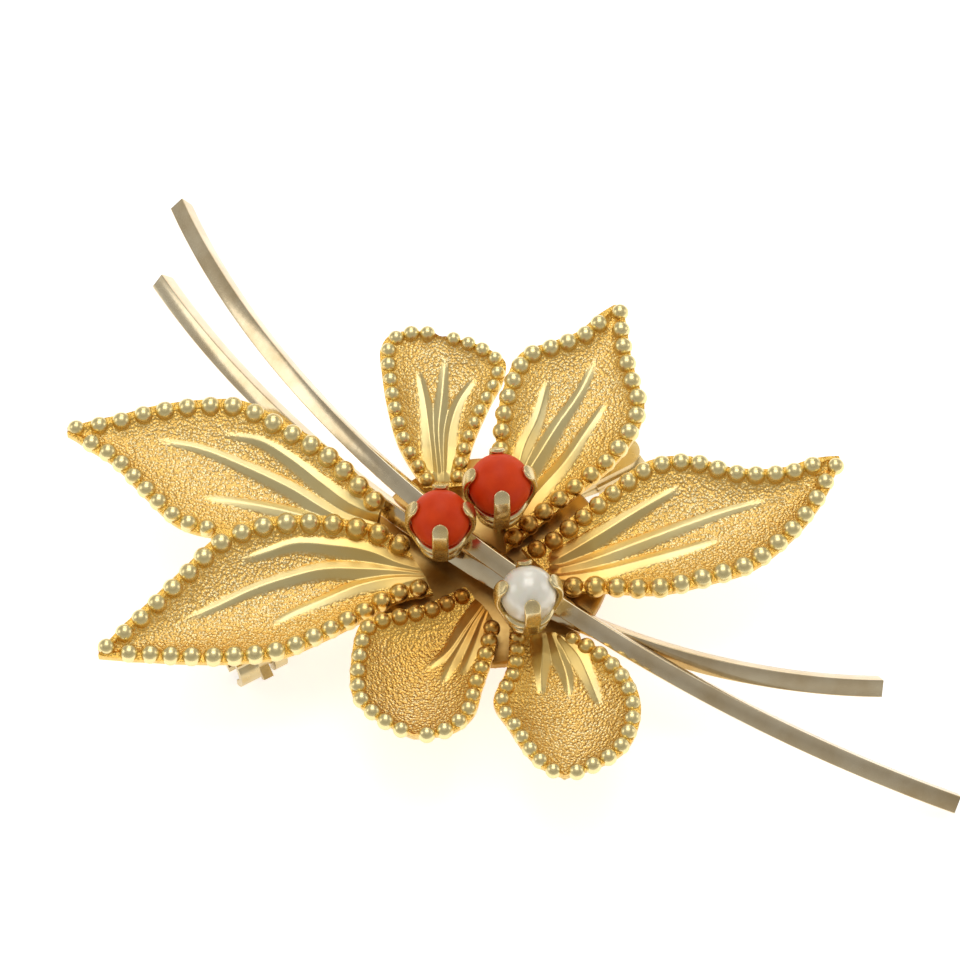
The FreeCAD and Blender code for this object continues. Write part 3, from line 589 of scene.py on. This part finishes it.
def new_material(name):
    """A new node material, its nodes, its links and its Principled shader."""
    material = bpy.data.materials.new(name)
    material.use_nodes = True
    tree = material.node_tree
    return material, tree.nodes, tree.links, tree.nodes["Principled BSDF"]


def ramp(nodes, stops):
    """A colour ramp with the given (place, colour) stops."""
    node = nodes.new("ShaderNodeValToRGB")
    elements = node.color_ramp.elements
    while len(elements) < len(stops):
        elements.new(0.5)
    for element, (place, colour) in zip(elements, stops):
        element.position = place
        element.color = (*colour, 1.0)
    return node


def noise_texture(nodes, links, coordinates, scale, detail=4.0, roughness=0.55):
    """Noise in object space; scale is per metre."""
    texture = nodes.new("ShaderNodeTexNoise")
    texture.inputs["Scale"].default_value = scale
    texture.inputs["Detail"].default_value = detail
    texture.inputs["Roughness"].default_value = roughness
    links.new(coordinates.outputs["Object"], texture.inputs["Vector"])
    return texture


def math_node(nodes, links, operation, a, b=None, clamp=False):
    """A maths node fed by sockets or plain numbers."""
    node = nodes.new("ShaderNodeMath")
    node.operation = operation
    node.use_clamp = clamp
    for index, value in enumerate((a, b)):
        if value is None:
            continue
        if isinstance(value, (int, float)):
            node.inputs[index].default_value = value
        else:
            links.new(value, node.inputs[index])
    return node.outputs[0]


def scaled(nodes, links, value, factor, offset):
    """value times factor plus offset."""
    result = math_node(nodes, links, "MULTIPLY_ADD", value, factor)
    result.node.inputs[2].default_value = offset
    return result


def mix_colour(nodes, links, share, first, second, blend="MIX"):
    """Mix two colours; each may be a socket or a plain colour."""
    node = nodes.new("ShaderNodeMix")
    node.data_type = "RGBA"
    node.blend_type = blend
    for socket, value in ((node.inputs[0], share), (node.inputs[6], first), (node.inputs[7], second)):
        if isinstance(value, (int, float)):
            socket.default_value = value
        elif isinstance(value, tuple):
            socket.default_value = (*value, 1.0)
        else:
            links.new(value, socket)
    return node.outputs[2]


def centre_distance(nodes, links, coordinates):
    """Distance from the flower's middle in plan, in metres."""
    mapping = nodes.new("ShaderNodeMapping")
    mapping.inputs["Location"].default_value = (-(CENTRE[0]) * MM, -(CENTRE[1] - 1.5) * MM, 0)
    mapping.inputs["Scale"].default_value = (1, 1, 0)
    links.new(coordinates.outputs["Object"], mapping.inputs["Vector"])
    length = nodes.new("ShaderNodeVectorMath")
    length.operation = "LENGTH"
    links.new(mapping.outputs["Vector"], length.inputs[0])
    return length.outputs["Value"]


# Painted shade: the brown toward the flower's middle, under the stones and stems.
CENTRE_SHADE_GOLD = (0.46, 0.20, 0.03)


def painted_centre_shade_colour(nodes, links, coordinates, pale, rich):
    """Gold with painted shade: brown near the flower's middle, where the stones and stems shade the leaf bases,
    running to pale at the leaf ends, in soft patches.
    """
    patches = noise_texture(nodes, links, coordinates, 260, 3.0)
    distance = centre_distance(nodes, links, coordinates)
    spread = math_node(nodes, links, "MULTIPLY", distance, 1 / 0.020)
    wander = scaled(nodes, links, patches.outputs["Fac"], 0.4, -0.2)
    place = math_node(nodes, links, "ADD", spread, wander, clamp=True)
    tones = ramp(nodes, [(0.14, CENTRE_SHADE_GOLD), (0.36, rich), (0.62, pale)])
    links.new(place, tones.inputs["Fac"])
    return tones.outputs["Color"]


def material_leaf():
    """Granular gold ground with painted shade and warm reflection, orange in its hollows and along its rims,
    with smooth satin veins.
    """
    if "leaf" in MATERIALS:
        return MATERIALS["leaf"]
    material, nodes, links, shader = new_material("leaf_gold")
    coordinates = nodes.new("ShaderNodeTexCoord")
    vein = nodes.new("ShaderNodeAttribute")
    vein.attribute_name = "vein"
    rim = nodes.new("ShaderNodeAttribute")
    rim.attribute_name = "rim"
    granules = nodes.new("ShaderNodeTexVoronoi")
    granules.inputs["Scale"].default_value = 5600
    granules.inputs["Randomness"].default_value = 1.0
    links.new(coordinates.outputs["Object"], granules.inputs["Vector"])
    grit = noise_texture(nodes, links, coordinates, 5200, 3.0, 0.7)
    relief = math_node(nodes, links, "SUBTRACT", grit.outputs["Fac"], granules.outputs["Distance"])
    off_vein = math_node(nodes, links, "SUBTRACT", 1.0, vein.outputs["Fac"], clamp=True)
    # Painted shade: ground and veins turn brown toward the flower's middle.
    ground_gold = painted_centre_shade_colour(nodes, links, coordinates, (1.0, 0.84, 0.46), (0.95, 0.64, 0.20))
    # Painted shade: orange near the rims, beside the grains, standing in for their shade and warm reflection.
    ground_gold = mix_colour(nodes, links, rim.outputs["Fac"], ground_gold, (0.98, 0.64, 0.16))
    vein_gold = painted_centre_shade_colour(nodes, links, coordinates, (0.82, 0.68, 0.33), (0.82, 0.58, 0.19))
    # Painted shade: the stipple's hollows turn orange-brown, standing in for shade and warm reflection between
    # the granules.
    hollow_shade = ramp(nodes, [(0.0, (0.8, 0.8, 0.8)), (0.22, (0.0, 0.0, 0.0))])
    links.new(relief, hollow_shade.inputs["Fac"])
    ground_gold = mix_colour(nodes, links, hollow_shade.outputs["Color"], ground_gold, (0.84, 0.48, 0.09))
    links.new(mix_colour(nodes, links, off_vein, vein_gold, ground_gold), shader.inputs["Base Color"])
    shader.inputs["Metallic"].default_value = 1.0
    rough = scaled(nodes, links, off_vein, -0.06, 0.32)
    links.new(rough, shader.inputs["Roughness"])
    bump = nodes.new("ShaderNodeBump")
    bump.inputs["Distance"].default_value = 0.00007
    links.new(math_node(nodes, links, "MULTIPLY", off_vein, 0.8), bump.inputs["Strength"])
    links.new(relief, bump.inputs["Height"])
    links.new(bump.outputs["Normal"], shader.inputs["Normal"])
    MATERIALS["leaf"] = material
    return material


def material_grain():
    """Satin gold grains, browner toward the flower's middle as painted shade."""
    if "grain" in MATERIALS:
        return MATERIALS["grain"]
    material, nodes, links, shader = new_material("grain_gold")
    coordinates = nodes.new("ShaderNodeTexCoord")
    links.new(painted_centre_shade_colour(nodes, links, coordinates, (0.94, 0.78, 0.38), (0.88, 0.62, 0.20)),
              shader.inputs["Base Color"])
    shader.inputs["Metallic"].default_value = 1.0
    wear = noise_texture(nodes, links, coordinates, 1400, 3.0)
    rough = scaled(nodes, links, wear.outputs["Fac"], 0.12, 0.22)
    links.new(rough, shader.inputs["Roughness"])
    bump = nodes.new("ShaderNodeBump")
    bump.inputs["Distance"].default_value = 0.00002
    bump.inputs["Strength"].default_value = 0.3
    links.new(wear.outputs["Fac"], bump.inputs["Height"])
    links.new(bump.outputs["Normal"], shader.inputs["Normal"])
    MATERIALS["grain"] = material
    return material


def material_polished(name, colour, dark, roughness):
    """Polished gold with faint scratches for settings, plate, bar, hinge, pin and catch."""
    if name in MATERIALS:
        return MATERIALS[name]
    material, nodes, links, shader = new_material(name)
    coordinates = nodes.new("ShaderNodeTexCoord")
    patches = noise_texture(nodes, links, coordinates, 420, 4.0)
    tones = ramp(nodes, [(0.35, dark), (0.6, colour)])
    links.new(patches.outputs["Fac"], tones.inputs["Fac"])
    links.new(tones.outputs["Color"], shader.inputs["Base Color"])
    shader.inputs["Metallic"].default_value = 1.0
    wear = noise_texture(nodes, links, coordinates, 2400, 4.0, 0.65)
    rough = scaled(nodes, links, wear.outputs["Fac"], 0.2, roughness)
    links.new(rough, shader.inputs["Roughness"])
    bump = nodes.new("ShaderNodeBump")
    bump.inputs["Distance"].default_value = 0.00001
    bump.inputs["Strength"].default_value = 0.3
    links.new(wear.outputs["Fac"], bump.inputs["Height"])
    links.new(bump.outputs["Normal"], shader.inputs["Normal"])
    MATERIALS[name] = material
    return material


def material_white_gold():
    """Polished white gold, warm grey tinted toward gold as painted reflection of the gold leaves, with faint
    wear.
    """
    if "white_gold" in MATERIALS:
        return MATERIALS["white_gold"]
    material, nodes, links, shader = new_material("white_gold")
    coordinates = nodes.new("ShaderNodeTexCoord")
    patches = noise_texture(nodes, links, coordinates, 300, 4.0)
    # Partly painted reflection: the warm tones stand in for the gold leaves reflected in the stems.
    tones = ramp(nodes, [(0.3, (0.66, 0.50, 0.28)), (0.62, (0.82, 0.70, 0.48))])
    links.new(patches.outputs["Fac"], tones.inputs["Fac"])
    links.new(tones.outputs["Color"], shader.inputs["Base Color"])
    shader.inputs["Metallic"].default_value = 1.0
    lines = noise_texture(nodes, links, coordinates, 3200, 3.0, 0.6)
    rough = scaled(nodes, links, lines.outputs["Fac"], 0.10, 0.11)
    links.new(rough, shader.inputs["Roughness"])
    bump = nodes.new("ShaderNodeBump")
    bump.inputs["Distance"].default_value = 0.000008
    bump.inputs["Strength"].default_value = 0.3
    links.new(lines.outputs["Fac"], bump.inputs["Height"])
    links.new(bump.outputs["Normal"], shader.inputs["Normal"])
    MATERIALS["white_gold"] = material
    return material


def material_coral():
    """Opaque orange-red coral with a soft polish and faint mottling."""
    material, nodes, links, shader = new_material("coral")
    coordinates = nodes.new("ShaderNodeTexCoord")
    mottle = noise_texture(nodes, links, coordinates, 900, 4.0)
    tones = ramp(nodes, [(0.3, (0.72, 0.048, 0.005)), (0.7, (0.84, 0.070, 0.008))])
    links.new(mottle.outputs["Fac"], tones.inputs["Fac"])
    links.new(tones.outputs["Color"], shader.inputs["Base Color"])
    shader.inputs["Roughness"].default_value = 0.45
    shader.inputs["Specular IOR Level"].default_value = 0.2
    shader.inputs["Subsurface Weight"].default_value = 0.1
    shader.inputs["Subsurface Radius"].default_value = (0.0008, 0.0002, 0.0001)
    shader.inputs["Subsurface Scale"].default_value = 1.0
    return material


def material_pearl():
    """Cream pearl: soft lustre, with painted sheen where it faces the camera and painted shade towards its
    edges, and faint warm clouding.
    """
    material, nodes, links, shader = new_material("pearl")
    coordinates = nodes.new("ShaderNodeTexCoord")
    # Painted sheen and shade: the pearl is paler facing the camera and darker towards its edges.
    facing = nodes.new("ShaderNodeLayerWeight")
    facing.inputs["Blend"].default_value = 0.35
    tones = ramp(nodes, [(0.0, (0.97, 0.94, 0.86)), (0.45, (0.95, 0.90, 0.80)), (0.8, (0.82, 0.78, 0.64)),
                         (1.0, (0.66, 0.58, 0.44))])
    links.new(facing.outputs["Facing"], tones.inputs["Fac"])
    cloud = noise_texture(nodes, links, coordinates, 500, 3.0)
    tint = ramp(nodes, [(0.35, (1.0, 0.96, 0.88)), (0.7, (1.0, 0.98, 0.93))])
    links.new(cloud.outputs["Fac"], tint.inputs["Fac"])
    colour = mix_colour(nodes, links, 1.0, tones.outputs["Color"], tint.outputs["Color"], "MULTIPLY")
    links.new(colour, shader.inputs["Base Color"])
    shader.inputs["Roughness"].default_value = 0.28
    shader.inputs["Metallic"].default_value = 0.15
    shader.inputs["Subsurface Weight"].default_value = 0.3
    shader.inputs["Subsurface Radius"].default_value = (0.001, 0.0008, 0.0006)
    shader.inputs["Subsurface Scale"].default_value = 1.0
    shader.inputs["Coat Weight"].default_value = 0.6
    shader.inputs["Coat Roughness"].default_value = 0.15
    return material


def dress_cad_nodes():
    """Better materials for the CAD nodes that stay as they are."""
    findings = material_polished("finding_gold", (0.78, 0.66, 0.40), (0.66, 0.50, 0.24), 0.2)
    inner = material_polished("plate_gold", (0.66, 0.42, 0.14), (0.42, 0.22, 0.05), 0.3)
    looks = {"centre_plate": inner, "back_bar": findings, "hinge_base": findings, "hinge_rivet": findings,
             "catch_body": findings, "safety_sleeve": findings, "pin_stem": findings}
    for node, material in looks.items():
        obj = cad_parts[node]
        obj.data.materials.clear()
        obj.data.materials.append(material)


# ---------------------------------------------------------------- stage, light and camera

def build_stage():
    """A plain white floor."""
    mesh = bpy.data.meshes.new("floor")
    half = 2.0
    corners = [(-half, -half, 0), (half, -half, 0), (half, half, 0), (-half, half, 0)]
    mesh.from_pydata(corners, [], [(0, 1, 2, 3)])
    floor = bpy.data.objects.new("floor", mesh)
    bpy.context.scene.collection.objects.link(floor)
    floor.location.z = -0.00005
    material, nodes, links, shader = new_material("floor_white")
    shader.inputs["Base Color"].default_value = (0.93, 0.93, 0.93, 1)
    shader.inputs["Roughness"].default_value = 0.9
    shader.inputs["Emission Color"].default_value = (1, 1, 1, 1)
    shader.inputs["Emission Strength"].default_value = 0.62
    floor.data.materials.append(material)


def area_light(name, location, target, size, brightness):
    """A square soft box aimed at a point; location, target and size in mm, brightness where 1 is white."""
    light = bpy.data.lights.new(name, "AREA")
    light.shape = "SQUARE"
    light.size = size * MM
    light.energy = brightness * math.pi * light.size ** 2
    obj = bpy.data.objects.new(name, light)
    bpy.context.scene.collection.objects.link(obj)
    obj.location = Vector(location) * MM
    aim = Vector(target) * MM - obj.location
    obj.rotation_euler = aim.to_track_quat("-Z", "Y").to_euler()


def build_light():
    """A light tent: grey walls, a brighter roof, and soft boxes overhead, behind and at both sides."""
    world = bpy.data.worlds.new("tent")
    bpy.context.scene.world = world
    world.use_nodes = True
    nodes = world.node_tree.nodes
    links = world.node_tree.links
    background = nodes["Background"]
    coordinates = nodes.new("ShaderNodeTexCoord")
    split = nodes.new("ShaderNodeSeparateXYZ")
    links.new(coordinates.outputs["Generated"], split.inputs["Vector"])
    height = ramp(nodes, [(0.0, (0.42, 0.42, 0.42)), (0.35, (0.50, 0.49, 0.47)), (0.7, (0.34, 0.33, 0.32)),
                          (1.0, (0.55, 0.55, 0.56))])
    links.new(split.outputs["Z"], height.inputs["Fac"])
    links.new(height.outputs["Color"], background.inputs["Color"])
    background.inputs["Strength"].default_value = 1.0
    area_light("roof_box", (0, 90, 300), (0, 0, 5), 200, 1.7)
    area_light("back_box", (0, 270, 200), (0, 0, 5), 160, 1.3)
    area_light("left_box", (-300, 20, 160), (0, 0, 5), 140, 1.2)
    area_light("right_box", (300, 60, 140), (0, 0, 5), 140, 1.0)


ELEVATION = 56.0
DISTANCE = 250.0
LENS = 150.0
AIM = Vector((-1.6, 0.53, 5.0))


def build_camera():
    """The camera, level in azimuth and high above the face."""
    data = bpy.data.cameras.new("camera")
    data.lens = LENS
    data.sensor_width = 36.0
    data.clip_start = 0.01
    data.clip_end = 10
    camera = bpy.data.objects.new("camera", data)
    bpy.context.scene.collection.objects.link(camera)
    lift = math.radians(ELEVATION)
    camera.location = (AIM + Vector((0, -math.cos(lift), math.sin(lift))) * DISTANCE) * MM
    camera.rotation_euler = (math.radians(90 - ELEVATION), 0, 0)
    bpy.context.scene.camera = camera


build_camera()
for leaf_name, leaf_shape in LEAVES.items():
    build_leaf(leaf_name, leaf_shape)
    build_grains(leaf_name, leaf_shape)
for stem_name, stem_shape in STEMS.items():
    build_stem(stem_name, stem_shape)
CORAL = material_coral()
build_stone("coral_left", CORAL, 0.01)
build_stone("coral_right", CORAL, 0.01)
build_stone("pearl", material_pearl(), 0.02)
for setting_name, (stone_name, first_claw) in SETTINGS.items():
    build_setting(setting_name, stone_name, first_claw)
dress_cad_nodes()
build_stage()
build_light()
bpy.context.scene.view_settings.view_transform = "Standard"
